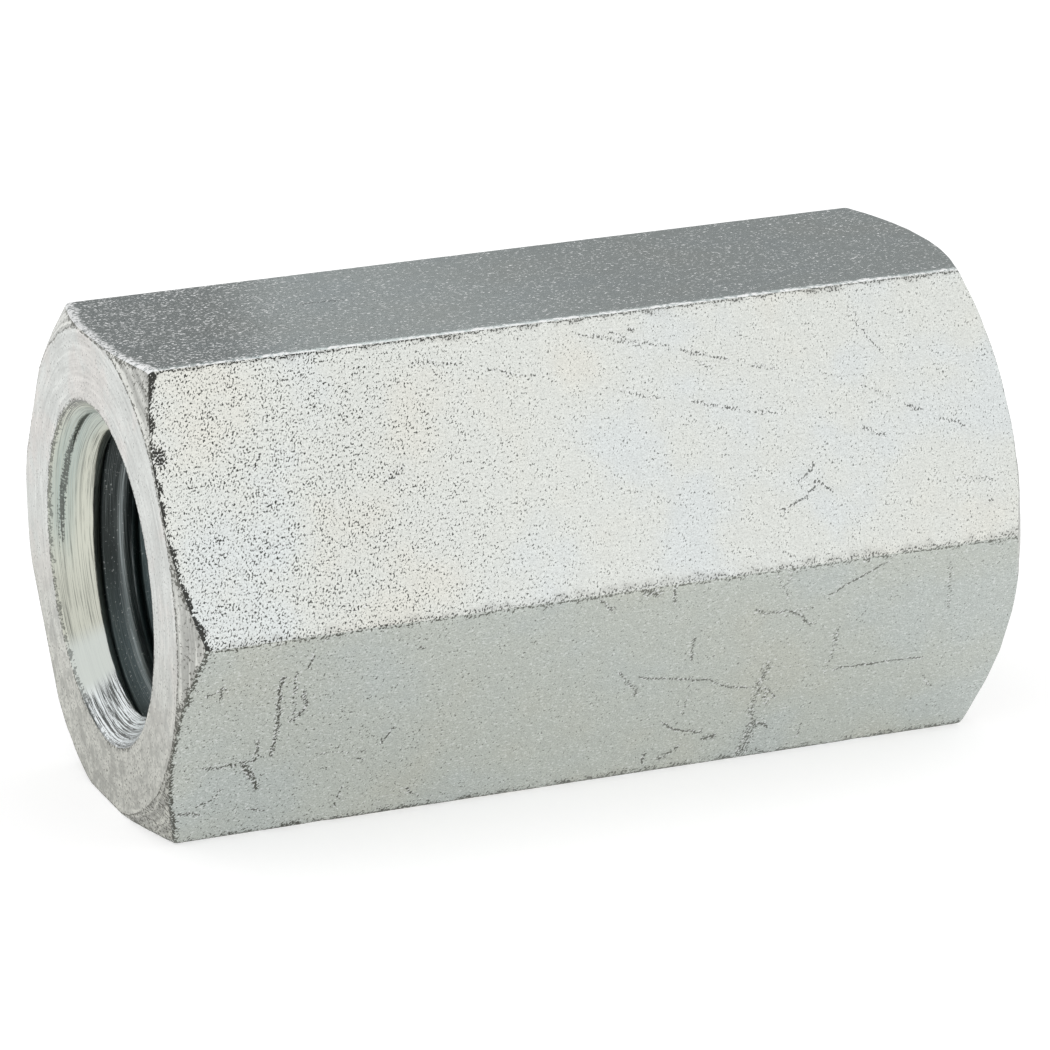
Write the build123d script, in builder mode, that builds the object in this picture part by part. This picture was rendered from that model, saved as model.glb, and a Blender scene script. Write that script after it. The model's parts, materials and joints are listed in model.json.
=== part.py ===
from build123d import *

import math
import os

# Coupling nut: a hexagonal bar, threaded right through, with both ends turned.
# X runs along the bore, Z is up, and the nut lies on one of its six flats.
# The origin is the middle of the bore, so the two end faces lie at plus and
# minus half the length.

# Sizes, in millimetres and degrees
across_flats = 24.0         # hexagon, from a flat to the one opposite
nut_length = 44.0           # from one end face to the other
long_edge_radius = 0.6      # rounding of the bar's six long edges
thread_diameter = 16.0      # outer diameter of the screw that fits
thread_pitch = 2.0          # coarse thread
mouth_margin = 0.6          # countersink's mouth beyond the thread, all round
mouth_angle = 90.0          # included angle of the countersinks
face_margin = 0.1           # turned end face beyond the flats, all round
chamfer_angle = 29.0        # slope of the turned corners, from the end face

# The thread is cut into a bore of the tapping size, which its crests leave standing.
bore_radius = (thread_diameter - thread_pitch) / 2
mouth_radius = thread_diameter / 2 + mouth_margin

# The end faces reach a little past the middle of each flat. From there the
# corners fall back along a cone, which cuts each flat in a shallow curve.
face_radius = across_flats / 2 + face_margin
corner_radius = across_flats / math.sqrt(3)
cone_depth = (corner_radius - face_radius) * math.tan(math.radians(chamfer_angle))

end_x = nut_length / 2
near_end = Plane(origin=(-end_x, 0, 0), x_dir=(0, 1, 0), z_dir=(-1, 0, 0))
far_end = Plane(origin=(end_x, 0, 0), x_dir=(0, 1, 0), z_dir=(1, 0, 0))

with BuildPart() as coupling_nut:

    # The drawn bar, with a flat underneath
    with BuildSketch(Plane.YZ.offset(-end_x)):
        RegularPolygon(across_flats / 2, 6, major_radius=False)
    extrude(amount=nut_length)
    fillet(coupling_nut.edges().filter_by(Axis.X), radius=long_edge_radius)

    # Both ends turned: what is left lies inside a round blank with coned ends
    with BuildSketch(Plane.XY):
        with BuildLine():
            Polyline(
                (-end_x, 0),
                (-end_x, face_radius),
                (-end_x + cone_depth, corner_radius),
                (end_x - cone_depth, corner_radius),
                (end_x, face_radius),
                (end_x, 0),
                close=True,
            )
        make_face()
    revolve(axis=Axis.X, mode=Mode.INTERSECT)

    # The bore runs right through, with a countersink at each end
    with Locations(near_end, far_end):
        CounterSinkHole(
            radius=bore_radius,
            counter_sink_radius=mouth_radius,
            depth=nut_length,
            counter_sink_angle=mouth_angle,
        )

coupling_nut.part.label = "coupling_nut"

os.makedirs("parts", exist_ok=True)
export_step(coupling_nut.part, "parts/coupling_nut.step")
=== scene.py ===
import json
import math

import bpy
import numpy as np
from mathutils import Matrix, Vector


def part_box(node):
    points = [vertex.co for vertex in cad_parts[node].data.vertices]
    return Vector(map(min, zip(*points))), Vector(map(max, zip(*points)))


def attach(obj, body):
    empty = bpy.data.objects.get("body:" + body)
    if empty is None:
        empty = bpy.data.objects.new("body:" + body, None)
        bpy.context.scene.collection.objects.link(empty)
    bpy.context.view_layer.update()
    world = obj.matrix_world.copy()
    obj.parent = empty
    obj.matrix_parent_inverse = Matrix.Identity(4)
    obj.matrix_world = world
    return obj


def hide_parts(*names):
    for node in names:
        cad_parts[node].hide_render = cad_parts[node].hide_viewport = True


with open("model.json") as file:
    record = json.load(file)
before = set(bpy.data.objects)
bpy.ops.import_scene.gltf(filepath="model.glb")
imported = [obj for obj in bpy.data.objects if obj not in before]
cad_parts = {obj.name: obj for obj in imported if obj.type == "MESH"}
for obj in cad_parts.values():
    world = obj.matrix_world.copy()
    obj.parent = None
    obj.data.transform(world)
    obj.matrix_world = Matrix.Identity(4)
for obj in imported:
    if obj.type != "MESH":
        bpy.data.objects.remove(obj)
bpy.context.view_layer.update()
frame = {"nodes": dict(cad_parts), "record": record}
print("frame loaded:", sorted(frame["nodes"]))

mm = 0.001                                   # the scene is in metres, the sizes below in millimetres
low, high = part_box("coupling_nut")
threadMount = [m for m in frame["record"]["mounts"] if m["name"] == "thread"][0]

# The nut's shape. Overall sizes come from the frame, the rest are shop sizes of the same part.
nut = {
    "halfLength": (high.x - low.x) / 2 / mm,
    "flatReach": (high.z - low.z) / 2 / mm,  # axis to a flat
    "boreRadius": threadMount["dims"]["r_mm"],
    "longEdgeRadius": 0.6,
    "turnedSlope": 29.0,                     # degrees, turned corners from the end face
    "nearFaceAt": (12.49, 12.14, 12.20, 11.96, 11.85, 12.52),  # turned radius at the six long edges
    "farFaceAt": (12.0, 12.0, 12.0, 12.0, 12.0, 12.0),
    "mouthRadius": 8.6,                      # 45 degree countersink where it meets the face
    "nearMouthShift": (0.23, -0.11),         # the near one stands a little off centre, y and z
    "farMouthShift": (0.0, 0.0),
    "pitch": 2.0,
    "threadDepth": 1.0,
    "crestHalf": 0.30,                       # half width of the thread's crest
    "rootHalf": 0.13,
    "firstCrest": -18.474,                   # x of a crest at turn 0, on the +Y side
    "flatSteps": 42,                         # columns across each flat
    "edgeSteps": 6,                          # columns round each long edge
    "lengthSteps": 82,                       # rings along the flats
    "mouthDepth": 1.85,                      # ring-shaped grid lines down to here, then helical ones
    "mouthSteps": 28,
    "lipDepths": (0.30, 0.18, 0.10, 0.05, 0.02),  # rings in the countersink's lip
    "wornDepth": 0.2,                        # the lip's wear ends this deep
    "faceRings": (0, 0.006, 0.015, 0.03, 0.07, 0.2, 0.4, 0.6, 0.8, 0.93, 0.97, 0.985, 0.994),
    "turnedRings": (0.0, 0.05, 0.12, 0.3, 0.6, 0.85, 0.95),  # like faceRings, shares of the way out
    "flatRings": (0.0, 0.05, 0.1, 0.2, 0.4, 0.8),  # from a flat's end, before the even rings
    "evenFrom": 1.3,
    "crestCorner": 0.05,                     # half width of a crest's broken corners
    "helixGap": 0.03,                        # helical lines end this far from the mouth's rings
    "roundingPasses": 4,                     # softens the creases
    "edgeNicks": 0.045,                      # deepest dent in the long edges
    "nickFrom": 0.25,                        # noise below this leaves no dent
    "nickRipple": 0.15,                      # small unevenness between the dents
    "nickSpread": 0.03,                      # width of the dents, as a share of a sixth of a turn
    "nickCells": (0.9, 0.7),                 # size of dents and ripple
    "creaseWear": 0.05,                      # unevenness of the turned creases
    "mouthWear": 0.6,                        # and of the mouths, as a share of that
    "wearCells": (0.9, 0.7),                 # its size on creases and mouths
    "creaseRoom": 0.07,                      # a crease stays this far inside the hexagon
    "seeds": {"near": 11, "far": 21, "nicks": 5},
}


# Value noise: a random number at each corner of a cubic lattice, eased between the eight corners.
def softNoise(points, cell, seed):
    lattice = 32                             # the pattern repeats after this many cells
    table = np.random.default_rng(seed).uniform(-1.0, 1.0, (lattice, lattice, lattice))
    scaled = points / cell
    base = np.floor(scaled).astype(int)
    part = scaled - base
    eased = part * part * (3.0 - 2.0 * part)
    total = np.zeros(points.shape[:-1])
    for corner in np.ndindex(2, 2, 2):
        weight = np.prod(np.where(corner, eased, 1.0 - eased), axis=-1)
        spot = (base + corner) % lattice
        total += weight * table[spot[..., 0], spot[..., 1], spot[..., 2]]
    return total


# Columns of the outer grid. A point of a flat is (reach, t), a point of a long edge is its arc
# centre plus radius times (cos, sin); each is turned to its place, and gives an angle and a radius.
def hexColumns(shape):
    reach, rounding = shape["flatReach"], shape["longEdgeRadius"]
    halfFlat = (reach - rounding) * math.tan(math.radians(30))
    t = np.linspace(-halfFlat, halfFlat, shape["flatSteps"] + 1)
    flatAngle, flatRadius = np.arctan2(t, reach), np.hypot(t, reach)
    lean = np.radians(np.linspace(-30, 30, shape["edgeSteps"] + 1))[1:-1]
    arcCentre = (reach - rounding) / math.cos(math.radians(30))
    arcX, arcY = arcCentre + rounding * np.cos(lean), rounding * np.sin(lean)
    edgeAngle, edgeRadius = np.arctan2(arcY, arcX), np.hypot(arcX, arcY)
    # place across of a long edge's points, seen from the flat before and from the flat after
    before = halfFlat + rounding * (lean + math.radians(30))
    after = before - 2 * halfFlat - rounding * math.radians(60)
    angles, radii, fromLeft, fromRight = [], [], [], []
    for side in range(6):
        angles += [flatAngle + math.radians(30 + 60 * side), edgeAngle + math.radians(60 + 60 * side)]
        radii += [flatRadius, edgeRadius]
        fromLeft += [t, before]
        fromRight += [t, after]
    return tuple(np.concatenate(part) for part in (angles, radii, fromLeft, fromRight))


# Value round the axis from one at each long edge, with eased steps between.
def roundTheAxis(angle, values):
    place = angle / math.radians(60)
    side = np.floor(place).astype(int)
    part = place - side
    eased = part * part * (3.0 - 2.0 * part)
    values = np.array(values)
    return values[side % 6] * (1.0 - eased) + values[(side + 1) % 6] * eased


# Thread radius at (x, angle): a trapezoid wave of the distance from the nearest crest's middle,
# which runs along x by one pitch each turn.
def threadRadius(x, angle, shape):
    turns = (x - shape["firstCrest"]) / shape["pitch"] - angle / (2 * math.pi)
    fromCrest = np.abs((turns + 0.5) % 1.0 - 0.5) * shape["pitch"]
    flank = shape["pitch"] / 2 - shape["crestHalf"] - shape["rootHalf"]
    climb = (fromCrest - shape["crestHalf"]) / flank
    return shape["boreRadius"] + shape["threadDepth"] * np.clip(climb, 0.0, 1.0)


# Radius of a mouth seen from the nut's axis: its own radius plus its shift in that direction.
def mouthRadiusAt(angle, shape, shift):
    return shape["mouthRadius"] + shift[0] * np.cos(angle) + shift[1] * np.sin(angle)


# Outer profile of one end, for all columns: up the countersink's lip, over the face to the turned
# crease, down the turned corner to the flat. Gives the depth from the face, the radius, the radii
# of mouth and crease, where the flat starts and how many points lie in the lip.
def endProfile(shape, angle, reach, faceAt, mouthShift, seed):
    slope = math.tan(math.radians(shape["turnedSlope"]))
    rim = np.stack([0 * angle, np.cos(angle), np.sin(angle)], axis=-1) * shape["flatReach"]
    creaseCell, mouthCell = shape["wearCells"]
    wear = shape["creaseWear"] * softNoise(rim, creaseCell, seed)
    mouth = mouthRadiusAt(angle, shape, mouthShift)
    worn = mouth + shape["mouthWear"] * shape["creaseWear"] * softNoise(rim, mouthCell, seed + 1)
    crease = np.minimum(roundTheAxis(angle, faceAt) + wear, reach - shape["creaseRoom"])
    lip = np.array(shape["lipDepths"])[None, :]
    across = np.array(shape["faceRings"])[None, :]
    down = np.array(shape["turnedRings"])[None, :]
    lipRadius = np.where(lip < shape["wornDepth"], worn[:, None], mouth[:, None]) - lip
    faceRadius = worn[:, None] + (crease - worn)[:, None] * across
    turnedRadius = crease[:, None] + (reach - crease)[:, None] * down
    depth = np.hstack([lip + 0 * lipRadius, 0 * faceRadius, (turnedRadius - crease[:, None]) * slope])
    radius = np.hstack([lipRadius, faceRadius, turnedRadius])
    return depth, radius, worn[:, None], crease[:, None], (reach - crease) * slope, lip.size


# The whole outside as a grid of columns by profile points: near end, flats, far end mirrored.
# zone is 0 in the countersink's lip, 1 on the turned end and 2 on the flats.
def outerGrid(shape, angle, reach):
    half = shape["halfLength"]
    nearDepth, nearRadius, nearMouth, nearCrease, nearStart, lip = endProfile(
        shape, angle, reach, shape["nearFaceAt"], shape["nearMouthShift"], shape["seeds"]["near"])
    farDepth, farRadius, farMouth, farCrease, farStart, lip = endProfile(
        shape, angle, reach, shape["farFaceAt"], shape["farMouthShift"], shape["seeds"]["far"])
    close, margin = np.array(shape["flatRings"]), shape["evenFrom"]
    steps = np.linspace(0.0, 1.0, shape["lengthSteps"] + 1)
    whole = (2 * half - nearStart - farStart)[:, None]
    gaps = np.hstack([close + 0 * whole, margin + steps * (whole - 2 * margin), whole - close[::-1]])
    flatX = -half + nearStart[:, None] + gaps
    x = np.hstack([-half + nearDepth, flatX, half - farDepth[:, ::-1]])
    radius = np.hstack([nearRadius, reach[:, None] + 0 * flatX, farRadius[:, ::-1]])
    end = np.array([0] * lip + [1] * (nearDepth.shape[1] - lip))
    zone = np.concatenate([end, np.full(flatX.shape[1], 2), end[::-1]])
    for _ in range(shape["roundingPasses"]):
        for line in (x, radius):
            line[:, 1:-1] += 0.25 * (line[:, 2:] + line[:, :-2] - 2 * line[:, 1:-1])
    gaps = {
        "nearGap": x + half - nearStart[:, None], "farGap": half - farStart[:, None] - x,
        "creaseGap": radius - np.where(x < 0, nearCrease, farCrease),
        "mouthGap": radius - np.where(x < 0, nearMouth, farMouth),
    }
    return x, radius, zone, gaps


# Points from x, a radius and a column's angle: x, radius times cosine, radius times sine.
def placed(x, radius, angle):
    turned = angle[:, None] + 0 * x
    return np.stack([x, radius * np.cos(turned), radius * np.sin(turned)], axis=-1)


# Dents in the long edges: noise above a threshold, times a bell of the distance from the edge.
def nicked(x, radius, angle, shape):
    points = placed(x, radius, angle)
    fromEdge = (angle / math.radians(60) + 0.5) % 1.0 - 0.5
    bell = np.exp(-(fromEdge / shape["nickSpread"]) ** 2)[:, None]
    dentCell, rippleCell = shape["nickCells"]
    seed = shape["seeds"]["nicks"]
    dents = np.clip(softNoise(points, dentCell, seed) - shape["nickFrom"], 0.0, 1.0)
    ripple = shape["nickRipple"] * np.abs(softNoise(points, rippleCell, seed + 1))
    return radius - shape["edgeNicks"] * bell * (dents + ripple)


# Quads of a grid of point numbers, column by column; a quad with a doubled corner becomes a
# triangle, and one that has closed up is dropped.
def gridFaces(here, beyond, outwards):
    corners = np.stack([here[:, :-1], beyond[:, :-1], beyond[:, 1:], here[:, 1:]], axis=-1)
    corners = corners.reshape(-1, 4)
    if not outwards:
        corners = corners[:, ::-1]
    doubled = corners == np.roll(corners, -1, axis=1)
    count = doubled.sum(axis=1)
    triangles = corners[count == 1][~doubled[count == 1]].reshape(-1, 3)
    return corners[count == 0], triangles


# The nut as one closed skin: the outside, a stretch of rings in each mouth, and helical lines
# between them that follow the crests and roots of the thread.
def nutSkin(shape):
    angle, reach, fromLeft, fromRight = hexColumns(shape)
    half, pitch = shape["halfLength"], shape["pitch"]
    turn = angle[:, None]
    x, radius, zone, gaps = outerGrid(shape, angle, reach)
    radius = np.where(zone == 2, nicked(x, radius, angle, shape), radius)
    outer = placed(x, radius, angle)
    outerId = np.arange(x.size).reshape(x.shape)
    total = x.size

    depths = np.linspace(shape["lipDepths"][0], shape["mouthDepth"], shape["mouthSteps"])[None, 1:]
    nearX = -half + depths + 0 * turn
    farX = half - depths[:, ::-1] + 0 * turn
    nearCone = mouthRadiusAt(turn, shape, shape["nearMouthShift"]) - depths
    farCone = mouthRadiusAt(turn, shape, shape["farMouthShift"]) - depths[:, ::-1]
    nearRings = placed(nearX, np.maximum(nearCone, threadRadius(nearX, turn, shape)), angle)
    farRings = placed(farX, np.maximum(farCone, threadRadius(farX, turn, shape)), angle)
    nearId = total + np.arange(nearX.size).reshape(nearX.shape)
    farId = nearId + nearX.size
    total += 2 * nearX.size

    edge, root = shape["crestHalf"], pitch / 2 - shape["rootHalf"]
    corner = shape["crestCorner"]
    lines = np.array([-root, -edge - corner, -edge + corner, edge - corner, edge + corner, root])
    turns = np.arange(-3, int(math.ceil(2 * half / pitch)) + 3)
    offsets = (turns[:, None] * pitch + lines[None, :]).ravel()
    helixX = shape["firstCrest"] + pitch * turn / (2 * math.pi) + offsets[None, :]
    first, last = -half + shape["mouthDepth"], half - shape["mouthDepth"]
    closeBy = shape["helixGap"]
    free = (helixX > first + closeBy) & (helixX < last - closeBy)
    helixId = np.where(helixX <= first + closeBy, nearId[:, -1:], farId[:, :1])
    helixId[free] = total + np.arange(free.sum())
    helix = placed(helixX, threadRadius(helixX, turn, shape), angle)[free]
    used = helixId.shape[1] - lines.size
    beyond = np.vstack([helixId[1:], np.roll(helixId[:1], -lines.size, axis=1)])

    nearBlock = np.hstack([outerId[:, :1], nearId])
    farBlock = np.hstack([farId, outerId[:, -1:]])
    outside, _ = gridFaces(outerId, np.roll(outerId, -1, axis=0), True)
    faces = outside.tolist()
    for here, there in ((nearBlock, np.roll(nearBlock, -1, axis=0)),
                        (farBlock, np.roll(farBlock, -1, axis=0)),
                        (helixId[:, :used], beyond[:, :used])):
        quads, triangles = gridFaces(here, there, False)
        faces += quads.tolist() + triangles.tolist()
    parts = [outer.reshape(-1, 3), nearRings.reshape(-1, 3), farRings.reshape(-1, 3), helix]

    # for the outside's faces, ring by ring in each column: finish, place across the flat, distances
    columns, rings = x.shape
    ringZone = np.maximum(zone[:-1], zone[1:]) * (np.minimum(zone[:-1], zone[1:]) > 0)
    perColumn = shape["flatSteps"] + shape["edgeSteps"]
    inColumn = np.arange(columns) % perColumn
    midEdge = shape["flatSteps"] + shape["edgeSteps"] // 2
    side = (np.arange(columns) // perColumn + (inColumn >= midEdge)) % 6
    flatOf = np.repeat(side, rings - 1)
    left = np.where(inColumn < midEdge, fromLeft, fromRight)
    right = np.where(inColumn < midEdge, np.roll(fromLeft, -1), np.roll(fromRight, -1))
    right = np.where(inColumn == perColumn - 1, -fromLeft[shape["flatSteps"]], right)
    across = np.stack([left, right, right, left], axis=-1)
    return {
        "points": np.concatenate(parts), "faces": faces, "gaps": gaps,
        "zone": np.tile(ringZone, columns), "flatOf": flatOf,
        "across": np.repeat(across, rings - 1, axis=0).ravel(),
    }


skin = nutSkin(nut)
nutMesh = bpy.data.meshes.new("couplingNut")
nutMesh.from_pydata((skin["points"] * mm).tolist(), [], skin["faces"])
nutMesh.shade_smooth()


# A named number at each point or face corner, for the finishes to read; the outside comes first.
def addNumbers(mesh, name, domain, values, size):
    full = np.zeros(size, np.float32)
    full[:values.size] = values.ravel()
    mesh.attributes.new(name, "FLOAT", domain).data.foreach_set("value", full)


addNumbers(nutMesh, "acrossFlat", "CORNER", skin["across"], len(nutMesh.loops))
for name, values in skin["gaps"].items():
    addNumbers(nutMesh, name, "POINT", values, len(nutMesh.vertices))
couplingNut = bpy.data.objects.new("couplingNut", nutMesh)
bpy.context.scene.collection.objects.link(couplingNut)
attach(couplingNut, "root")
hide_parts("coupling_nut")
nutMesh.calc_loop_triangles()
print("nut skin:", len(nutMesh.vertices), "points,", len(nutMesh.loop_triangles), "triangles")


# Node helpers. Each adds one node to the tree in hand and gives its output; an input is a number, a
# tuple or an output.
inHand = {"tree": None}


def add(kind):
    return inHand["tree"].nodes.new(kind)


def feed(socket, value):
    if isinstance(value, bpy.types.NodeSocket):
        inHand["tree"].links.new(value, socket)
    else:
        socket.default_value = value


def calc(operation, *values):
    node = add("ShaderNodeMath")
    node.operation = operation
    for socket, value in zip(node.inputs, values):
        feed(socket, value)
    return node.outputs[0]


def times(first, second):
    return calc("MULTIPLY", first, second)


def highest(first, second):
    return calc("MAXIMUM", first, second)


def vectorCalc(operation, *values):
    node = add("ShaderNodeVectorMath")
    node.operation = operation
    if operation == "SCALE":
        feed(node.inputs[0], values[0])
        feed(node.inputs["Scale"], values[1])
    else:
        for socket, value in zip(node.inputs, values):
            feed(socket, value)
    return node.outputs["Value" if operation in ("LENGTH", "DISTANCE", "DOT_PRODUCT") else "Vector"]


# An eased step from start, at low, to end, at high.
def ease(value, low, high, start=0.0, end=1.0):
    node = add("ShaderNodeMapRange")
    node.interpolation_type = "SMOOTHSTEP"
    for name, number in (("Value", value), ("From Min", low), ("From Max", high),
                         ("To Min", start), ("To Max", end)):
        feed(node.inputs[name], number)
    return node.outputs["Result"]


def noise(place, scale, detail=2.0, roughness=0.5):
    node = add("ShaderNodeTexNoise")
    for name, number in (("Vector", place), ("Scale", scale),
                         ("Detail", detail), ("Roughness", roughness)):
        feed(node.inputs[name], number)
    return node.outputs["Fac"]


def mixed(amount, first, second, blend="MIX"):
    node = add("ShaderNodeMix")
    node.data_type = "RGBA"
    node.blend_type = blend
    for index, value in ((0, amount), (6, first), (7, second)):
        feed(node.inputs[index], value)
    return node.outputs[2]


def tinted(colour, number):
    return mixed(1.0, colour, number, "MULTIPLY")


def joined(x, y, z):
    node = add("ShaderNodeCombineXYZ")
    for socket, value in zip(node.inputs, (x, y, z)):
        feed(socket, value)
    return node.outputs[0]


def parted(vector):
    node = add("ShaderNodeSeparateXYZ")
    feed(node.inputs[0], vector)
    return node.outputs


def stored(name):
    node = add("ShaderNodeAttribute")
    node.attribute_name = name
    return node.outputs["Fac"]


def placeInMillimetres():
    return vectorCalc("SCALE", add("ShaderNodeTexCoord").outputs["Object"], 1 / mm)


def bumped(height, distance):
    node = add("ShaderNodeBump")
    node.inputs["Distance"].default_value = distance * mm
    feed(node.inputs["Height"], height)
    return node.outputs["Normal"]


def newFinish(name):
    material = bpy.data.materials.new(name)
    material.use_nodes = True
    inHand["tree"] = material.node_tree
    return material, material.node_tree.nodes["Principled BSDF"]


# Closeness to a scratch: its depth on the line from start to start + run, plus fall, which is below
# zero, for each millimetre away from it. Gives the highest so far.
def scratchGroup():
    group = bpy.data.node_groups.new("scratch", "ShaderNodeTree")
    inHand["tree"] = group
    for name in ("Place", "Start", "Run"):
        group.interface.new_socket(name, in_out="INPUT", socket_type="NodeSocketVector")
    for name in ("Share", "Fall", "Depth", "Before"):
        group.interface.new_socket(name, in_out="INPUT", socket_type="NodeSocketFloat")
    group.interface.new_socket("Closeness", in_out="OUTPUT", socket_type="NodeSocketFloat")
    given = add("NodeGroupInput").outputs
    offset = vectorCalc("SUBTRACT", given["Place"], given["Start"])
    along = vectorCalc("DOT_PRODUCT", offset, given["Run"])
    along = times(along, given["Share"])
    clamp = add("ShaderNodeClamp")
    feed(clamp.inputs["Value"], along)
    nearest = vectorCalc("SCALE", given["Run"], clamp.outputs[0])
    distance = vectorCalc("DISTANCE", offset, nearest)
    closeness = calc("MULTIPLY_ADD", distance, given["Fall"], given["Depth"])
    result = add("NodeGroupOutput")
    feed(result.inputs[0], highest(closeness, given["Before"]))
    return group


scratch = scratchGroup()


# The highest closeness of a list of scratches, each a chain of points with a width and a depth.
def scratchField(place, scratches):
    field = 0.0
    for points, width, depth in scratches:
        for start, end in zip(points, points[1:] or points):
            run = (end[0] - start[0], end[1] - start[1], 0.0)
            node = add("ShaderNodeGroup")
            node.node_tree = scratch
            feed(node.inputs["Place"], place)
            node.inputs["Start"].default_value = (start[0], start[1], 0.0)
            node.inputs["Run"].default_value = run
            node.inputs["Share"].default_value = 1.0 / max(run[0] ** 2 + run[1] ** 2, 1e-6)
            node.inputs["Fall"].default_value = -depth / width
            node.inputs["Depth"].default_value = depth
            feed(node.inputs["Before"], field)
            field = node.outputs[0]
    return field


# Dirt sits where a fine noise is above a threshold, which falls as the weight rises from 0 to 1.
def dirtWhere(grains, weight, none=0.76, most=0.40, soft=0.07):
    threshold = calc("MULTIPLY_ADD", weight, most - none, none)
    return ease(calc("SUBTRACT", grains, threshold), 0.0, soft)


zinc = {
    "colour": (0.800, 0.818, 0.780, 1.0),
    "warm": (0.828, 0.810, 0.735, 1.0),      # clouds of cream and blue in the plating
    "cool": (0.772, 0.818, 0.836, 1.0),
    # glint: white of the painted highlights on the flats
    "glint": (0.93, 0.94, 0.94, 1.0),
    "smear": (0.42, 0.425, 0.40, 1.0),       # along the long edges
}

# Each flat's own look. Pairs go from the near end to the far end, tone also has a middle. The tone
# and base are partly painted shade: the lower flat's low tone and the top flat's darker, bluish base
# paint in the shade on those flats. Grain and shine say how fine the specks and the glints are.
# Bands are the dirty strips along the two long edges, each a width in millimetres and a weight; specks,
# glints, bands and curveLine are weights, 0 none to 1 most. Blue is where the plating turns bluish:
# none at the first x, full at the second, then its place across and half width.
flatLooks = {
    "topFlat": {
        # top flat: its darker, bluish base and its tone are partly painted shade
        "base": (0.76, 0.815, 0.845, 1.0), "tone": (0.70, 1.12, 0.89), "clouds": 0.3, "blue": None,
        "grain": 8.0, "dirt": (0.115, 0.125, 0.125, 1.0), "specks": (0.48, 0.34), "fade": (0.8, 0.6),
        "shine": 9.2, "glints": (0.62, 0.41), "glintFade": 0.95, "dust": 0.16,
        "bands": ((0.25, 0.5), (0.0, 0.0)), "smear": 0.0, "curveLine": 0.0, "wornEdge": 1.0,
        "roughness": 0.34, "relief": 0.7,
    },
    "upperFlat": {
        "base": (1.0, 1.0, 1.0, 1.0), "tone": (1.04, 1.01, 0.985), "clouds": 0.58,
        "blue": (-4.0, 13.0, -0.8, 2.3),
        "grain": 10.5, "dirt": (0.030, 0.030, 0.026, 1.0), "specks": (0.57, 0.43), "fade": (0.95, 0.72),
        "shine": 8.0, "glints": (0.0, 0.0), "glintFade": 0.3, "dust": 0.14,
        "bands": ((0.7, 0.82), (0.95, 0.66)), "smear": 0.32, "curveLine": 0.8, "wornEdge": 0.0,
        "roughness": 0.40, "relief": 0.0,
    },
    "lowerFlat": {
        # lower flat: its low tone is painted shade
        "base": (0.985, 1.01, 0.985, 1.0), "tone": (0.705, 0.72, 0.725), "clouds": 0.45,
        "blue": (10.0, 18.0, 0.5, 5.0),
        "grain": 8.5, "dirt": (0.09, 0.09, 0.075, 1.0), "specks": (0.42, 0.38), "fade": (0.9, 0.7),
        "shine": 7.6, "glints": (0.52, 0.46), "glintFade": 0.35, "dust": 0.24,
        "bands": ((0.6, 0.75), (1.0, 0.95)), "smear": 0.15, "curveLine": 0.6, "wornEdge": 0.0,
        "roughness": 0.42, "relief": 0.8,
    },
    "plainFlat": {
        "base": (1.0, 1.0, 1.0, 1.0), "tone": (0.92, 0.92, 0.92), "clouds": 0.7, "blue": None,
        "grain": 9.0, "dirt": (0.05, 0.05, 0.04, 1.0), "specks": (0.48, 0.38), "fade": (0.8, 0.6),
        "shine": 8.0, "glints": (0.35, 0.35), "glintFade": 0.3, "dust": 0.18,
        "bands": ((0.6, 0.7), (0.6, 0.7)), "smear": 0.3, "curveLine": 0.6, "wornEdge": 0.0,
        "roughness": 0.40, "relief": 0.4,
    },
}

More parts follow.
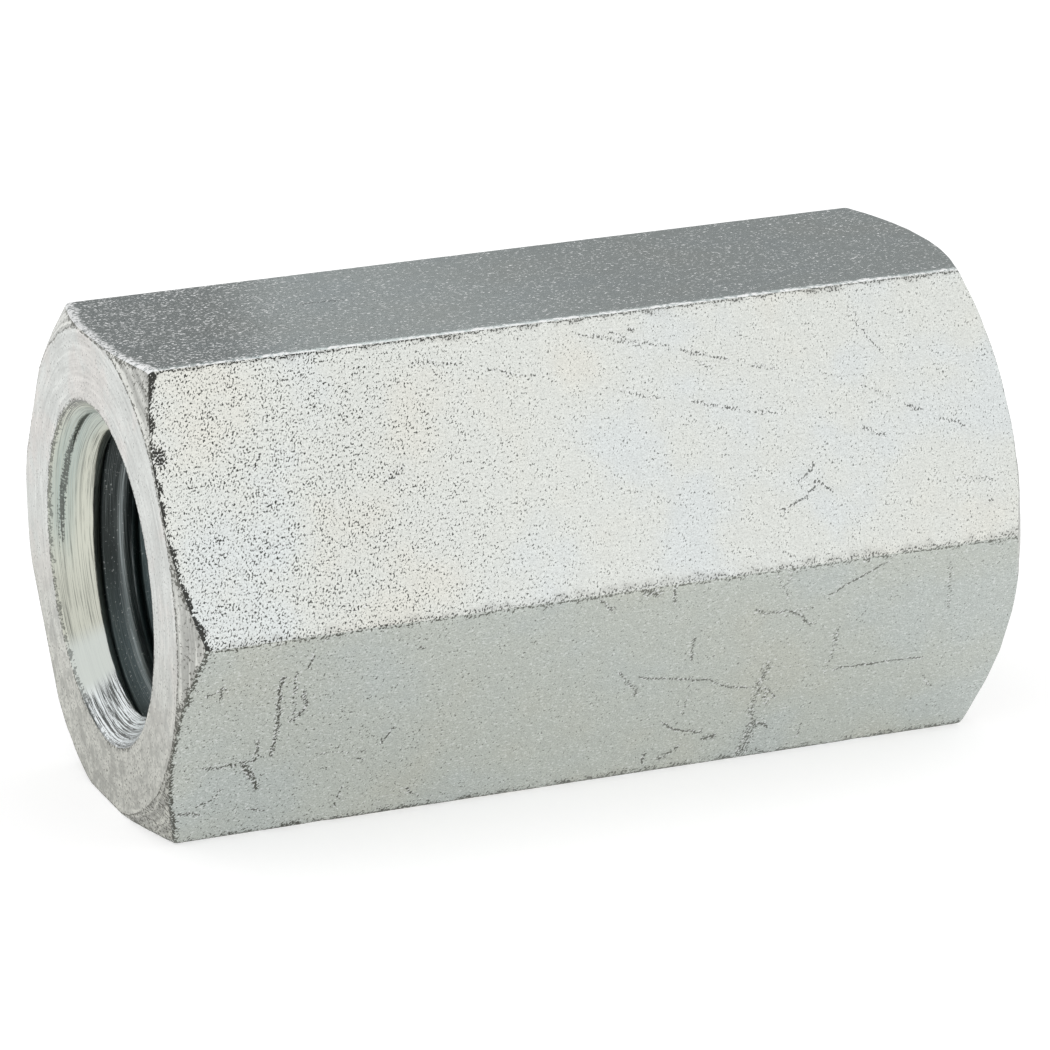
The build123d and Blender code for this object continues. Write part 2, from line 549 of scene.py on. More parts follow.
# Marks on the flats: points as x along the nut and place across the flat, then width and depth.
flatScratches = {
    "topFlat": [
        ([(-10.7, -1.25), (-8.7, -1.05)], 0.3, 1.25),
    ],
    "upperFlat": [
        ([(-21.6, -2.9), (-21.5, -2.5)], 1.1, 1.1),
        ([(-17.8, 2.3), (-16.0, 2.3)], 0.39, 0.8),
        ([(-16.8, 0.4), (-16.0, 0.1)], 0.26, 0.9),
        ([(-13.8, 5.9), (-12.9, 5.7)], 0.26, 0.8),
        ([(-17.0, -1.5), (-16.7, -2.2)], 0.16, 1.1),
        ([(-8.0, -5.7), (-6.0, -5.3)], 0.26, 0.85),
        ([(-4.5, -4.9), (-2.2, -4.2)], 0.26, 0.8),
        ([(-10.7, -0.1), (-9.8, -0.6)], 0.65, 0.8),
        ([(0.5, -6.0), (4.9, -4.9)], 0.39, 0.8),
        ([(2.0, -6.0), (3.6, -5.1)], 0.39, 0.7),
        ([(5.6, -4.6), (7.9, -3.85)], 0.33, 0.9),
        ([(6.2, -4.0), (7.0, -3.6)], 0.59, 0.7),
        ([(9.0, -3.4), (10.2, -3.1)], 0.39, 0.8),
        ([(2.0, -2.9), (3.9, -2.4)], 0.39, 0.75),
        ([(5.5, -2.0), (7.7, -1.35)], 0.26, 0.95),
        ([(8.2, -1.15), (9.9, -0.8)], 0.26, 0.85),
        ([(3.2, -6.05)], 0.39, 1.2),
        ([(10.3, 2.6), (11.1, 2.0)], 0.39, 0.95),
        ([(9.0, 4.0), (10.4, 3.5), (11.1, 2.8), (11.7, 3.4)], 0.18, 1.05),
        ([(14.0, 0.5), (15.2, 0.95)], 0.36, 0.85),
        ([(14.5, -1.7), (15.8, -0.9)], 0.45, 0.7),
        ([(16.6, -0.4), (17.3, -0.2)], 0.33, 0.85),
        ([(18.3, 0.5), (19.4, 0.95)], 0.36, 0.85),
        ([(18.5, 3.7), (20.4, 3.9)], 0.65, 0.7),
        ([(19.9, 4.9)], 0.26, 1.2),
        ([(14.7, -5.8), (15.0, -4.8), (16.0, -3.0)], 0.12, 0.9),
    ],
    "lowerFlat": [
        ([(-17.0, -4.3), (-16.9, -2.0), (-16.7, -0.5), (-16.8, 1.2)], 0.34, 1.03),
        ([(-16.3, -4.5), (-16.1, -1.5)], 0.26, 0.83),
        ([(-15.7, -3.1), (-15.5, -2.0), (-16.0, -1.1)], 0.39, 0.98),
        ([(-15.6, -5.6), (-15.7, -4.8)], 0.19, 1.03),
        ([(-20.7, -3.8), (-19.7, -4.0)], 0.32, 0.88),
        ([(-20.0, -4.2), (-20.0, -3.3)], 0.26, 0.98),
        ([(-17.7, 0.0), (-17.5, 1.2), (-18.0, 1.6)], 0.32, 0.93),
        ([(-20.2, 1.5), (-18.5, 1.6)], 0.39, 0.93),
        ([(-18.2, 1.5), (-17.7, 2.4), (-17.4, 3.0), (-17.3, 3.6)], 0.45, 1.05),
        ([(-19.1, 3.1), (-19.4, 3.9), (-20.2, 4.4)], 0.32, 0.88),
        ([(-21.0, 4.6), (-20.1, 4.9)], 0.39, 0.98),
        ([(-17.6, 4.9), (-16.8, 5.2)], 0.45, 0.83),
        ([(-12.7, 4.4), (-13.0, 5.9)], 0.2, 0.9),
        ([(-10.6, 0.4), (-11.1, 1.6)], 0.23, 1.0),
        ([(-14.2, 1.6), (-11.9, 2.0)], 0.27, 0.75),
        ([(-12.6, 2.3), (-11.8, 2.6)], 0.27, 0.8),
        ([(-10.1, -5.0)], 0.34, 1.0),
        ([(-9.3, 5.2), (-8.6, 6.0)], 0.34, 0.8),
        ([(-1.2, -6.8), (-0.2, -5.6)], 0.47, 0.85),
        ([(1.2, -6.75), (1.9, -6.55)], 0.54, 1.1),
        ([(2.8, -6.9), (2.85, -5.7)], 0.24, 1.0),
        ([(0.9, -1.1), (1.5, -0.1), (2.2, 0.7)], 0.41, 0.85),
        ([(2.0, 0.6)], 0.54, 1.0),
        ([(2.0, -0.45), (5.6, 0.4), (7.0, 1.2), (9.2, 1.8), (9.9, 2.6)], 0.2, 1.05),
        ([(4.5, -2.8), (4.65, -1.1)], 0.3, 0.9),
        ([(4.9, 0.6), (4.9, 2.8)], 0.3, 0.75),
        ([(8.9, 0.0), (8.7, 3.4), (9.1, 4.6)], 0.68, 0.85),
        ([(9.0, 4.4), (8.7, 6.9)], 1, 0.95),
        ([(9.0, 4.1), (9.9, 4.8)], 0.27, 1.1),
        ([(9.2, 2.0), (9.4, 3.0)], 0.68, 0.75),
        ([(3.9, 3.3), (4.9, 4.0), (6.2, 4.35)], 0.23, 1.1),
        ([(6.5, 4.9), (6.9, 4.8)], 0.47, 1.2),
        ([(4.2, 6.0), (5.1, 5.3)], 0.47, 0.9),
        ([(3.4, 5.3), (3.4, 6.2)], 0.27, 1.0),
        ([(7.5, -4.15), (8.2, -3.9), (9.5, -3.7), (10.1, -3.3), (10.8, -2.6)], 0.34, 0.95),
        ([(9.6, -3.7), (10.6, -3.8)], 0.47, 0.8),
        ([(8.8, -7.0), (8.8, -5.6)], 0.27, 0.8),
        ([(8.2, -6.5), (9.05, -4.9)], 0.27, 0.8),
        ([(11.4, -4.6), (12.4, -5.35), (14.0, -6.4)], 0.2, 1.1),
        ([(12.9, -6.8)], 0.54, 1.1),
        ([(12.3, -2.0), (12.4, -0.5), (12.2, 1.2)], 0.47, 0.75),
        ([(12.7, 1.1), (16.2, 1.1), (17.6, 1.2)], 0.18, 1.1),
        ([(17.6, -5.8), (17.9, -4.0), (18.2, -2.3)], 0.3, 0.8),
        ([(17.9, 2.7), (18.6, 3.5)], 0.23, 0.8),
        ([(11.8, 4.9), (11.6, 5.9)], 0.3, 0.85),
    ],
    "plainFlat": [],
}


# What the flats share. Places are millimetres, along the nut from its middle or across a flat. A step
# or tint is what ease takes: low and high, then start and end where they aren't 0 and 1. A wander is
# how far the ragged noise moves a line.
flatCommon = {
    "layerStep": 40.0,                       # keeps the noises of two flats apart
    "grainSlant": 0.35, "grainAcross": 0.7, "shineAlong": 0.7, "dustScale": 14.0, "swayScale": 1.3,
    "cloudScale": 0.16, "creamStep": (0.50, 0.70), "blueStep": (0.50, 0.30), "blueShift": -0.13,
    "blueRim": (1.5, 1.0),                   # its soft rim, outside and inside the half width
    "lean": 0.25,                            # tone and glints change on lines that lean this much
    "nearTone": (-16.5, -11.5),              # from the near tone to the middle one
    "farTone": (-7.0, 7.0),                  # and on to the far one
    "shineTint": (0.25, 0.75, 0.94, 1.05), "dustStep": (0.25, 0.70), "dustTop": 1.06,
    "swayTint": (0.3, 0.7, 0.96, 1.02), "speckPlaces": (-17.0, 3.0), "speckWander": 0.7,
    "longEdge": 6.9, "bandWander": 1.3, "bandStart": -0.1,
    "lineAt": 0.1,                           # a thin dark line in each band
    "lineWander": -0.8, "lineStep": (0.09, 0.02), "lineExtra": 0.1,
    "farCurve": 0.32,                        # the far curve's line is this much thinner
    "curveWander": 0.9, "curveWidth": 0.42, "curveExtra": 0.4, "markWander": 0.5,
    "markWeight": 0.97, "fadePlaces": (-14.0, 2.0), "glintPlaces": (-17.0, -9.0),
    "glintGrains": (0.74, 0.50, 0.06),       # none, most and soft, as dirtWhere takes them
    "flakeGrains": (0.76, 0.46, 0.06), "flakeShine": 0.6,
    "glintMatt": 0.9,                        # share of metal that a glint loses
    "dirtRoughness": 0.62, "reliefAlong": 0.6, "reliefScale": 3.2, "reliefDepth": 0.05,
}

# The bright line along the top flat's front edge, and along its near end: wear, with a painted
# highlight.
wornSheenLine = {
    "at": 6.93,
    "wander": 0.9,
    "step": (0.23, 0.09),
    "grains": (0.40, 0.52, 0.12, 1.0),
    "nearWander": 0.6,
    "nearStep": (0.55, 0.25),
    "nearGrains": (0.38, 0.5),
}


# Finish of one flat: clouds in the plating, a tone that is partly painted shade, specks of dirt that
# gather along edges and marks, glints that are painted highlights, and a bright line of wear and
# painted highlight where the look has one.
def flatFinish(name, number):
    look, common = flatLooks[name], flatCommon
    material, shader = newFinish(name)
    layer = common["layerStep"] * number
    along = parted(placeInMillimetres())[0]
    across, nearGap, farGap = (stored(word) for word in ("acrossFlat", "nearGap", "farGap"))
    spot = joined(along, across, layer)
    slanted = joined(calc("MULTIPLY_ADD", across, common["grainSlant"], along),
                     times(across, common["grainAcross"]), layer)
    grains = noise(slanted, look["grain"], 2.0, 0.6)
    drawnOut = joined(times(along, common["shineAlong"]), across, layer + 7.0)
    shine = noise(drawnOut, look["shine"], 1.0, 0.5)
    dust = noise(spot, common["dustScale"], 1.0, 0.6)
    sway = add("ShaderNodeTexNoise")
    feed(sway.inputs["Vector"], spot)
    sway.inputs["Scale"].default_value = common["swayScale"]
    sway.inputs["Detail"].default_value = 3.0
    ragged = calc("SUBTRACT", sway.outputs["Fac"], 0.5)
    clouds = noise(spot, common["cloudScale"], 3.0, 0.5)

    # the plating's colour
    base, warm, cool = (
        tuple(a * b for a, b in zip(zinc[word], look["base"])) for word in ("colour", "warm", "cool"))
    if look["blue"]:
        start, full, middle, half = look["blue"]
        outside, inside = common["blueRim"]
        off = calc("ABSOLUTE", calc("SUBTRACT", across, middle))
        blue = ease(along, start, full)
        blue = times(blue, ease(off, half + outside, half - inside))
        clouds = calc("MULTIPLY_ADD", blue, common["blueShift"], clouds)
    colour = mixed(ease(clouds, *common["creamStep"], 0.0, look["clouds"]), base, warm)
    colour = mixed(ease(clouds, *common["blueStep"], 0.0, look["clouds"]), colour, cool)
    # the tone along the flat, partly painted shade on the top and lower flats
    nearTone, midTone, farTone = look["tone"]
    leaning = calc("MULTIPLY_ADD", across, common["lean"], along)
    tone = ease(leaning, *common["nearTone"], nearTone, midTone)
    tone = calc("ADD", tone, ease(along, *common["farTone"], 0.0, farTone - midTone))
    colour = tinted(colour, tone)
    colour = tinted(colour, ease(shine, *common["shineTint"]))
    dusty = ease(dust, *common["dustStep"], 1.0 - look["dust"], common["dustTop"])
    colour = tinted(colour, dusty)
    colour = tinted(colour, ease(sway.outputs["Fac"], *common["swayTint"]))

    # weights of dirt: all over, along the long edges on a grey smear, along the turned curves and
    # on the marks
    weight = ease(along, *common["speckPlaces"], *look["specks"])
    weight = calc("MULTIPLY_ADD", ragged, common["speckWander"], weight)
    for (width, depth), sign in zip(look["bands"], (1.0, -1.0)):
        if width > 0:
            gap = calc("ADD", times(across, sign), common["longEdge"])
            gap = calc("MULTIPLY_ADD", ragged, common["bandWander"], gap)
            grey = ease(gap, 0.5 * width, 0.0, 0.0, look["smear"])
            colour = mixed(grey, colour, zinc["smear"])
            band = ease(gap, width, common["bandStart"], 0.0, depth)
            weight = highest(weight, band)
            line = calc("SUBTRACT", gap, common["lineAt"])
            line = calc("MULTIPLY_ADD", ragged, common["lineWander"], line)
            line = calc("ABSOLUTE", line)
            line = ease(line, *common["lineStep"], 0.0, depth + common["lineExtra"])
            weight = highest(weight, line)
    if look["curveLine"] > 0:
        ends = calc("MINIMUM", nearGap, calc("ADD", farGap, common["farCurve"]))
        ends = calc("MULTIPLY_ADD", ragged, common["curveWander"], ends)
        curveWeight = look["curveLine"] + common["curveExtra"]
        ends = ease(ends, common["curveWidth"], 0.0, 0.0, curveWeight)
        weight = highest(weight, ends)
    field = 0.0
    if flatScratches[name]:
        shift = vectorCalc("SUBTRACT", sway.outputs["Color"], (0.5, 0.5, 0.5))
        shift = vectorCalc("SCALE", shift, common["markWander"])
        shifted = vectorCalc("MULTIPLY", vectorCalc("ADD", spot, shift), (1.0, 1.0, 0.0))
        field = scratchField(shifted, flatScratches[name])
        marks = times(field, common["markWeight"])
        weight = highest(weight, marks)
    dirt = dirtWhere(grains, weight)
    fade = ease(along, *common["fadePlaces"], *look["fade"])
    colour = mixed(times(dirt, fade), colour, look["dirt"])

    # painted highlights: white glints on grains, more of them towards the near end and beside the marks
    shiny = ease(leaning, *common["glintPlaces"], *look["glints"])
    glint = dirtWhere(shine, shiny, *common["glintGrains"])
    glint = times(glint, look["glintFade"])
    if flatScratches[name]:
        flakes = dirtWhere(shine, field, *common["flakeGrains"])
        glint = highest(glint, times(flakes, common["flakeShine"]))
    glint = times(glint, calc("SUBTRACT", 1.0, dirt))
    # bright line of wear and painted highlight along the front edge and the near end
    if look["wornEdge"] > 0:
        edge = calc("SUBTRACT", wornSheenLine["at"], across)
        edge = calc("MULTIPLY_ADD", ragged, wornSheenLine["wander"], edge)
        rubAndSheen = ease(edge, *wornSheenLine["step"])
        rubAndSheen = times(rubAndSheen, ease(shine, *wornSheenLine["grains"]))
        nearEdge = calc("MULTIPLY_ADD", ragged, wornSheenLine["nearWander"], nearGap)
        nearRubAndSheen = ease(nearEdge, *wornSheenLine["nearStep"])
        nearRubAndSheen = times(nearRubAndSheen, ease(shine, *wornSheenLine["nearGrains"]))
        glint = highest(glint, highest(rubAndSheen, nearRubAndSheen))
    colour = mixed(glint, colour, zinc["glint"])

    feed(shader.inputs["Base Color"], colour)
    matt = times(glint, common["glintMatt"])
    feed(shader.inputs["Metallic"], calc("SUBTRACT", 1.0, matt))
    rough = ease(dirt, 0.0, 1.0, look["roughness"], common["dirtRoughness"])
    feed(shader.inputs["Roughness"], rough)
    if look["relief"] > 0:
        drawn = times(along, common["reliefAlong"])
        height = noise(joined(drawn, across, layer + 3.0), common["reliefScale"])
        normal = bumped(height, common["reliefDepth"] * look["relief"])
        feed(shader.inputs["Normal"], normal)
    return material


# Turned ends: rings left by the tool, dirt in the creases and round the mouth. Rings are how close
# they stand outward and how short they are round the axis; steps, tints and wanders are as above.
turnedLook = {
    "colour": (0.625, 0.640, 0.620, 1.0),
    "warm": (0.640, 0.625, 0.600, 1.0),
    "corner": (0.700, 0.705, 0.670, 1.0),
    # low: painted shade, darker low on the nut
    "low": (0.525, 0.525, 0.482, 1.0),
    "dirt": (0.10, 0.10, 0.085, 1.0),
    "roughness": (0.42, 0.6),                # clean and dirty
    "toolRings": (5.0, 3.0), "broadRings": (1.3, 6.0), "fineRings": (9.0, 1.3), "grainScale": 7.0,
    "wanderScale": 1.3, "cloudScale": 0.25, "cornerStep": (-0.05, 0.1), "warmStep": (0.45, 0.60),
    "lowWander": 3.0,
    "lowStep": (-3.0, 9.0),                  # millimetres below the axis
    "toolTint": (0.3, 0.7, 0.89, 1.08), "broadTint": (0.3, 0.7, 0.93, 1.05),
    "streakStep": (0.62, 0.42),
    "streakTint": (0.95, 1.03),              # dark and bright, on the face
    "cornerStreak": -0.30,                   # darker by this on the turned corner
    "grainTint": (0.3, 0.7, 1.08, 0.93), "stainStep": (0.54, 0.40),
    "stainLow": (0.0, 8.0, 0.05, 0.36),
    "thinDirt": 0.33,                        # weight of dirt all over
    "cornerDirt": 0.15,                      # and more on the turned corner
    "dirtWander": 0.9, "lowDirt": (2.0, 10.0, 0.0, 0.15), "creaseWander": 0.25,
    "creaseStep": (0.12, 0.02, 0.0, 0.95), "besideWander": 0.6,
    "besideStep": (0.26, 0.04, 0.0, 0.95), "burrWander": 0.5, "burrStep": (0.30, 0.03, 0.0, 0.85),
    "dirtFade": 0.75,
}


# Place along the tool's rings: far apart in steps outward, drawn out long round the axis.
def ringPlace(place, fine, coarse):
    x, y, z = parted(place)
    radius = vectorCalc("LENGTH", joined(0.0, y, z))
    outward = calc("ADD", radius, calc("ABSOLUTE", x))
    share = calc("DIVIDE", coarse, radius)
    return joined(times(outward, fine), times(y, share),
                  times(z, share)), radius


# Finish of the turned ends: the plating's colour, tinted by the rings and darker low on the nut, which
# is painted shade, then dirt by the highest of its weights.
def turnedFinish():
    look = turnedLook
    material, shader = newFinish("turnedEnds")
    place = placeInMillimetres()
    z = parted(place)[2]
    creaseGap, mouthGap, nearGap, farGap = (
        stored(word) for word in ("creaseGap", "mouthGap", "nearGap", "farGap"))
    rings, _ = ringPlace(place, *look["toolRings"])
    tool = noise(rings, 1.0, 4.0, 0.65)
    broad, _ = ringPlace(place, *look["broadRings"])
    bands = noise(broad, 1.0, 2.0, 0.5)
    grains = noise(place, look["grainScale"], 2.0, 0.6)
    fine, _ = ringPlace(place, *look["fineRings"])
    streaks = noise(fine, 1.0, 3.0, 0.6)
    wander = noise(place, look["wanderScale"], 3.0, 0.6)
    ragged = calc("SUBTRACT", wander, 0.5)

    onCorner = ease(creaseGap, *look["cornerStep"])
    clouds = noise(place, look["cloudScale"], 3.0, 0.6)
    colour = mixed(ease(clouds, *look["warmStep"]), look["colour"], look["warm"])
    colour = mixed(onCorner, colour, look["corner"])
    # painted shade: darker towards the bottom of each end
    lower = calc("MULTIPLY_ADD", ragged, look["lowWander"], times(z, -1.0))
    colour = mixed(ease(lower, *look["lowStep"]), colour, look["low"])
    colour = tinted(colour, ease(tool, *look["toolTint"]))
    colour = tinted(colour, ease(bands, *look["broadTint"]))
    dark, bright = look["streakTint"]
    dark = calc("MULTIPLY_ADD", onCorner, look["cornerStreak"], dark)
    colour = tinted(colour, ease(streaks, *look["streakStep"], dark, bright))
    colour = tinted(colour, ease(grains, *look["grainTint"]))

    stains = ease(wander, *look["stainStep"])
    stains = times(stains, ease(lower, *look["stainLow"]))
    colour = mixed(stains, colour, look["dirt"])

    # weights of dirt: a little all over, in the crease, beside the flats and round the mouth
    weight = calc("MULTIPLY_ADD", onCorner, look["cornerDirt"], look["thinDirt"])
    weight = calc("MULTIPLY_ADD", ragged, look["dirtWander"], weight)
    weight = calc("ADD", weight, ease(lower, *look["lowDirt"]))
    crease = calc("MULTIPLY_ADD", ragged, look["creaseWander"], creaseGap)
    crease = ease(calc("ABSOLUTE", crease), *look["creaseStep"])
    weight = highest(weight, crease)
    beside = calc("MINIMUM", calc("ABSOLUTE", nearGap), calc("ABSOLUTE", farGap))
    beside = calc("MULTIPLY_ADD", ragged, look["besideWander"], beside)
    beside = times(ease(beside, *look["besideStep"]), onCorner)
    weight = highest(weight, beside)
    burr = calc("MULTIPLY_ADD", ragged, look["burrWander"], mouthGap)
    burr = ease(calc("ABSOLUTE", burr), *look["burrStep"])
    weight = highest(weight, burr)
    dirt = dirtWhere(grains, weight)
    colour = mixed(times(dirt, look["dirtFade"]), colour, look["dirt"])
    feed(shader.inputs["Base Color"], colour)
    shader.inputs["Metallic"].default_value = 1.0
    feed(shader.inputs["Roughness"], ease(dirt, 0.0, 1.0, *look["roughness"]))
    return material


# Bore: a cream countersink with tool rings, lighter towards its bottom as painted light, then the
# thread, painted dark as shade, with its crests painted lighter as highlights; smear is the grey-green
# beside the line where the thread runs in, deeper the thread's paler colour further down the bore.
# Steps named for a height are of the share down: -1 at the top of the bore, 1 at the bottom.
boreLook = {
    "cream": (0.600, 0.610, 0.530, 1.0),
    # pale and bright: the countersink's lower part painted lighter, painted light
    "pale": (0.640, 0.680, 0.650, 1.0),
    "bright": (0.82, 0.86, 0.87, 1.0),
    "smear": (0.40, 0.47, 0.44, 1.0),
    "streak": (0.06, 0.065, 0.06, 1.0),
    # thread, deeper and crest: the thread's painted shade, paler further down, and painted highlights
    # on its crests
    "thread": (0.050, 0.058, 0.058, 1.0),
    "deeper": (0.115, 0.150, 0.155, 1.0),
    "crest": (0.26, 0.29, 0.29, 1.0),
    # painted highlights on the thread
    "glint": (0.80, 0.82, 0.82, 1.0),
    "roughness": 0.33, "bump": 0.02, "toolRings": (8.0, 2.5), "thinRings": (16.0, 1.2),
    "grainScale": 7.0,
    "backStep": (-0.16, -0.08),              # where the thread's dark starts, on the back wall
    "frontReach": 0.4,                       # and on the front wall
    "backToFront": (1.0, -2.0), "farReach": 0.3, "toolStreaks": (0.52, 0.64, 0.0, 0.5),
    "lineStreaks": (0.54, 0.62), "topHeights": (-0.30, -0.85, 0.45, 0.80),
    "paleHeights": (0.58, 0.70, 0.0, 0.85), "paleEnd": (0.93, 0.86), "bottomHeights": (0.84, 0.92),
    "heavyTool": (0.51, 0.54, 0.0, 0.95), "heavyLines": (0.53, 0.57, 0.0, 0.65),
    "runInHeights": (0.35, -0.1), "smearStep": (0.75, 0.25), "smearLines": (0.42, 0.58, 0.85, 0.35),
    "runInStep": (0.34, 0.04), "flakeFade": 0.8, "rimScale": 1.3, "rimWander": 0.5,
    "rimStep": (0.32, 0.04), "rimFade": 0.6,
    "crestReach": (0.35, 0.03),              # above the bore's radius
    "crestLines": (0.40, 0.58, 0.25, 1.0),
    "deeperFrom": (1.2, 2.2),                # beyond the first groove
    "deeperHeights": (0.1, 0.8, 0.0, 0.6), "threadLines": (0.55, 0.64, 0.0, 0.5),
    "glintGrains": (0.62, 0.70, 0.0, 0.5), "glintTool": (0.4, 0.6),
}


# Finish of the bore: the countersink's colour, and the thread's painted shade and highlights from its
# first full groove on. That groove is x less a pitch for each turn round the axis on the back wall, and
# plain x on the front.
def boreFinish(shape):
    look = boreLook
    material, shader = newFinish("threadedBore")
    place = placeInMillimetres()
    x, y, z = parted(place)
    rings, radius = ringPlace(place, *look["toolRings"])
    tool = noise(rings, 1.0, 5.0, 0.72)
    thin, _ = ringPlace(place, *look["thinRings"])
    lines = noise(thin, 1.0, 2.0, 0.6)
    grains = noise(place, look["grainScale"], 2.0, 0.6)

    turned = calc("DIVIDE", calc("ARCTAN2", z, y), 2 * math.pi)
    root = shape["firstCrest"] - shape["pitch"] / 2
    fromRoot = calc("SUBTRACT", calc("MULTIPLY_ADD", turned, -shape["pitch"], x), root)
    onBack = ease(fromRoot, *look["backStep"])
    onFront = ease(x, root - look["frontReach"], root + look["frontReach"])
    # where the thread's painted shade starts, on the back and front walls
    nearDark = mixed(ease(y, *look["backToFront"]), onBack, onFront)
    dark = times(nearDark, ease(x, -root, -root - look["farReach"]))

    # countersink: cream rings, a pale patch and a bright bottom that are painted light, heavy streaks
    # below, a dark line where the thread runs in
    down = calc("DIVIDE", times(z, -1.0), radius)
    colour = mixed(ease(tool, *look["toolStreaks"]), look["cream"], look["streak"])
    above = ease(down, *look["topHeights"])
    colour = mixed(ease(lines, *look["lineStreaks"], 0.0, above), colour, look["streak"])
    pale = ease(down, *look["paleHeights"])
    pale = times(pale, ease(down, *look["paleEnd"]))
    colour = mixed(pale, colour, look["pale"])
    bottom = ease(down, *look["bottomHeights"])
    colour = mixed(bottom, colour, look["bright"])
    heavy = ease(tool, *look["heavyTool"])
    heavy = highest(heavy, ease(lines, *look["heavyLines"]))
    colour = mixed(times(bottom, heavy), colour, look["streak"])
    runIn = calc("ABSOLUTE", calc("ADD", fromRoot, shape["pitch"]))
    above = ease(down, *look["runInHeights"])
    smear = times(ease(runIn, *look["smearStep"]), above)
    smear = times(smear, ease(lines, *look["smearLines"]))
    colour = mixed(smear, colour, look["smear"])
    runIn = times(ease(runIn, *look["runInStep"]), above)
    flakes = times(calc("ADD", grains, lines), 0.5)
    flakes = times(dirtWhere(flakes, runIn), look["flakeFade"])
    colour = mixed(flakes, colour, look["streak"])

    # flakes of dirt on the mouth's rim
    rim = calc("SUBTRACT", shape["halfLength"], calc("ABSOLUTE", x))
    ragged = calc("SUBTRACT", noise(place, look["rimScale"], 3.0, 0.6), 0.5)
    rim = calc("MULTIPLY_ADD", ragged, look["rimWander"], rim)
    rim = dirtWhere(grains, ease(rim, *look["rimStep"]))
    colour = mixed(times(rim, look["rimFade"]), colour, look["streak"])

    # thread: painted shade, darkest in the grooves, crests painted lighter as highlights, a paler depth
    # and a few painted glints
    outerCrest, innerCrest = (shape["boreRadius"] + reach for reach in look["crestReach"])
    crest = ease(radius, outerCrest, innerCrest)
    crest = times(crest, ease(lines, *look["crestLines"]))
    deeperStart, deeperFull = (root + reach for reach in look["deeperFrom"])
    deeper = ease(x, deeperStart, deeperFull)
    deeper = highest(deeper, ease(down, *look["deeperHeights"]))
    thread = mixed(deeper, look["thread"], look["deeper"])
    thread = mixed(crest, thread, look["crest"])
    thread = mixed(ease(lines, *look["threadLines"]), thread, look["crest"])
    glint = ease(grains, *look["glintGrains"])
    glint = times(glint, ease(tool, *look["glintTool"]))
    thread = mixed(glint, thread, look["glint"])
    colour = mixed(dark, colour, thread)
    feed(shader.inputs["Base Color"], colour)
    shader.inputs["Metallic"].default_value = 1.0
    shader.inputs["Roughness"].default_value = look["roughness"]
    feed(shader.inputs["Normal"], bumped(tool, look["bump"]))
    return material


finishes = [turnedFinish(), boreFinish(nut)]
finishes += [flatFinish(name, number) for number, name in enumerate(flatLooks)]
for finish in finishes:
    nutMesh.materials.append(finish)

# Finish numbers of the outside's faces: turned ends 0, lips 1, then the flats, from 30 degrees on.
finishOfFlat = np.array([5, 2, 3, 4, 5, 5])
outsideFinish = np.where(skin["zone"] == 0, 1, 0)
outsideFinish = np.where(skin["zone"] == 2, finishOfFlat[skin["flatOf"]], outsideFinish)
allFinish = np.full(len(nutMesh.polygons), 1, np.int32)
allFinish[:outsideFinish.size] = outsideFinish
nutMesh.polygons.foreach_set("material_index", allFinish)
nutMesh.update()
print("finishes:", [finish.name for finish in finishes])


# The studio: a white floor that keeps the nut's shadow, and soft light from all round.
studio = {
    "floorReach": 3.0,
    "floorColour": (0.62, 0.62, 0.62, 1.0),
    "floorGlow": 0.55,                       # seen by camera, glossy and transmission rays
    "roomLight": 1.0,
    "backdrop": 0.33,                        # the dark low screen behind the nut, to the right
    "backdropBehind": (0.45, 0.75),          # its soft edges, as directions along y, x and z
    "backdropRight": (-0.25, 0.0),
    "backdropTop": (0.75, 0.50),
    "floorGap": 0.03,                        # millimetres under the nut
}


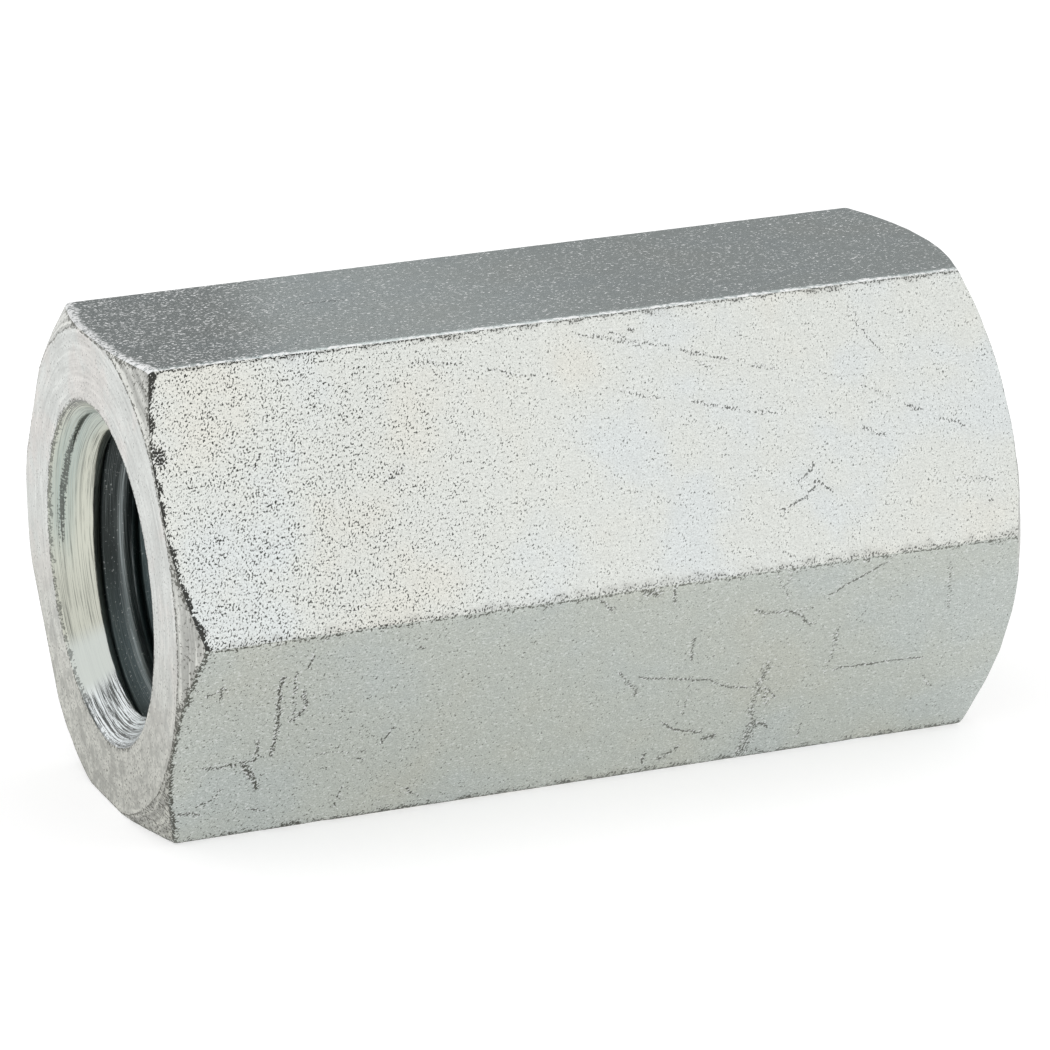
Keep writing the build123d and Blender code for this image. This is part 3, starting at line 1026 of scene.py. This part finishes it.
# A square of white paper; rays from the camera and from gloss see it glow, so that it stays white.
def studioFloor(values):
    reach, level = values["floorReach"], low.z - values["floorGap"] * mm
    mesh = bpy.data.meshes.new("studioFloor")
    mesh.from_pydata([(-reach, -reach, level), (reach, -reach, level), (reach, reach, level),
                      (-reach, reach, level)], [], [(0, 1, 2, 3)])
    floor = bpy.data.objects.new("studioFloor", mesh)
    bpy.context.scene.collection.objects.link(floor)
    material, shader = newFinish("whitePaper")
    rays = add("ShaderNodeLightPath").outputs
    seen = highest(rays["Is Camera Ray"], rays["Is Glossy Ray"])
    seen = highest(seen, rays["Is Transmission Ray"])
    shader.inputs["Base Color"].default_value = values["floorColour"]
    shader.inputs["Roughness"].default_value = 0.9
    shader.inputs["Specular IOR Level"].default_value = 0.0
    shader.inputs["Emission Color"].default_value = (1.0, 1.0, 1.0, 1.0)
    feed(shader.inputs["Emission Strength"], times(seen, values["floorGlow"]))
    mesh.materials.append(material)


# Even light from all round, weaker where the direction lies behind, to the right and low.
def studioRoom(values):
    world = bpy.data.worlds.new("studioRoom")
    bpy.context.scene.world = world
    world.use_nodes = True
    inHand["tree"] = world.node_tree
    direction = add("ShaderNodeTexCoord").outputs["Generated"]
    x, y, z = parted(direction)
    behind = ease(y, *values["backdropBehind"])
    behind = times(behind, ease(x, *values["backdropRight"]))
    shade = times(behind, ease(z, *values["backdropTop"]))
    background = world.node_tree.nodes["Background"]
    strength = ease(shade, 0.0, 1.0, values["roomLight"], values["backdrop"])
    feed(background.inputs["Strength"], strength)
    background.inputs["Color"].default_value = (1.0, 1.0, 1.0, 1.0)


studioFloor(studio)
studioRoom(studio)
print("studio ready")

# The camera, set to the photograph's view; aim and distance in millimetres, angles in degrees.
viewing = {
    "azimuth": 20.656,
    "elevation": 17.274,
    "roll": -1.4975,
    "distance": 311.62,
    "aim": (0.261, 0.030, -0.522),
    "lens": 212.934,
    "sensor": 36.0,
    "clip": (0.01, 50.0),                    # metres
}


# back points from the aim to the camera, by azimuth and elevation; roll turns the camera about it.
def placeCamera(values):
    a, e, r = (math.radians(values[k]) for k in ("azimuth", "elevation", "roll"))
    back = Vector((-math.sin(a) * math.cos(e), -math.cos(a) * math.cos(e), math.sin(e)))
    level = Vector((math.cos(a), -math.sin(a), 0.0))
    upright = back.cross(level)
    right = level * math.cos(r) + upright * math.sin(r)
    up = upright * math.cos(r) - level * math.sin(r)
    camera = bpy.data.cameras.new("viewCamera")
    camera.lens = values["lens"]
    camera.sensor_width = values["sensor"]
    camera.clip_start, camera.clip_end = values["clip"]
    holder = bpy.data.objects.new("viewCamera", camera)
    bpy.context.scene.collection.objects.link(holder)
    spot = (Vector(values["aim"]) + back * values["distance"]) * mm
    turn = Matrix((right, up, back)).transposed().to_4x4()
    holder.matrix_world = Matrix.Translation(spot) @ turn
    bpy.context.scene.camera = holder


placeCamera(viewing)
bpy.context.scene.view_settings.view_transform = "Standard"
